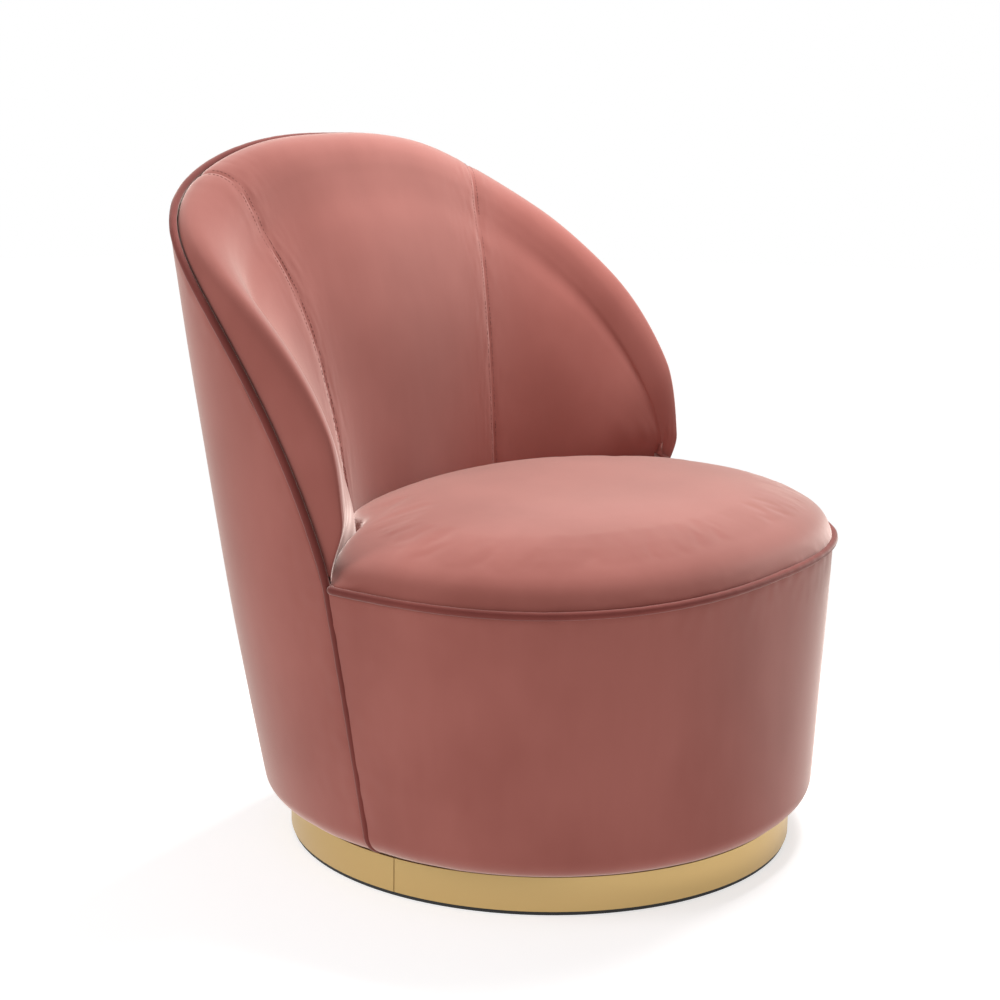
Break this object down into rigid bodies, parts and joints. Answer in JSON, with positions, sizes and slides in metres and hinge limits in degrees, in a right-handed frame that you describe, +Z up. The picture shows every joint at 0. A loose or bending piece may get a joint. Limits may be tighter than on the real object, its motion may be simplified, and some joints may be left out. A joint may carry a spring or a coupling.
{
  "type": "swivel tub armchair",
  "caption": "Low upholstered tub armchair with a wraparound back that sweeps down to the seat, turning on a round metal-banded plinth.",
  "frame": {"origin": "on the floor under the middle of the chair's bounding box", "axes": "+Z up, the sitter faces -Y, +X is the sitter's left"},
  "size_m": [0.72, 0.6229, 0.7825],
  "materials": {
    "velvet": "matte",
    "velvet_welt": "matte",
    "brushed_brass": "satin",
    "black_rubber": "matte",
    "birch_plywood": "matte",
    "fibreboard": "matte",
    "foam": "matte",
    "zinc_steel": "satin",
    "nylon": "satin",
    "elastic_webbing": "matte",
    "black_cloth": "matte"
  },
  "bodies": {
    "plinth": {"foot_ring": "black_rubber", "plinth_hoop": "birch_plywood", "plinth_band": "brushed_brass", "plinth_deck": "birch_plywood", "swivel_lower_plate": "zinc_steel", "lower_plate_screw_1": "zinc_steel", "lower_plate_screw_2": "zinc_steel", "lower_plate_screw_3": "zinc_steel", "lower_plate_screw_4": "zinc_steel"},
    "ball_cage": {"ball_cage": "nylon", "bearing_ball_1": "zinc_steel", "bearing_ball_2": "zinc_steel", "bearing_ball_3": "zinc_steel", "bearing_ball_4": "zinc_steel", "bearing_ball_5": "zinc_steel", "bearing_ball_6": "zinc_steel", "bearing_ball_7": "zinc_steel", "bearing_ball_8": "zinc_steel"},
    "chair": {"swivel_upper_plate": "zinc_steel", "upper_plate_screw_1": "zinc_steel", "upper_plate_screw_2": "zinc_steel", "upper_plate_screw_3": "zinc_steel", "upper_plate_screw_4": "zinc_steel", "base_board": "birch_plywood", "underside_cloth": "black_cloth", "back_post_centre": "birch_plywood", "back_post_left": "birch_plywood", "back_post_right": "birch_plywood", "back_post_wing_left": "birch_plywood", "back_post_wing_right": "birch_plywood", "front_post_centre": "birch_plywood", "front_post_left": "birch_plywood", "front_post_right": "birch_plywood", "back_rail": "birch_plywood", "seat_rail": "birch_plywood", "back_webbing_1": "elastic_webbing", "back_webbing_2": "elastic_webbing", "back_webbing_3": "elastic_webbing", "seat_spring_1": "zinc_steel", "seat_spring_2": "zinc_steel", "seat_spring_3": "zinc_steel", "seat_spring_4": "zinc_steel", "spring_felt": "black_cloth", "outer_back_cover": "velvet", "outer_back_board": "fibreboard", "front_cover": "velvet", "front_board": "fibreboard", "back_piping": "velvet_welt", "seat_piping": "velvet_welt", "back_foam_centre": "foam", "back_foam_left": "foam", "back_foam_right": "foam", "inside_back_cover_centre": "velvet", "inside_back_cover_left": "velvet", "inside_back_cover_right": "velvet", "seat_foam": "foam", "seat_cover": "velvet"}
  },
  "joints": [
    {"name": "chair_swivel", "type": "hinge", "parent": "plinth", "child": "chair", "pos_m": [0, -0.0055, 0.0345], "axis": [0, 0, 1], "continuous": true},
    {"name": "cage_turn", "type": "hinge", "parent": "plinth", "child": "ball_cage", "pos_m": [0, -0.0055, 0.0345], "axis": [0, 0, 1], "continuous": true}
  ],
  "couplings": [
    {"joint": "cage_turn", "follows": "chair_swivel", "ratio": 0.5}
  ]
}
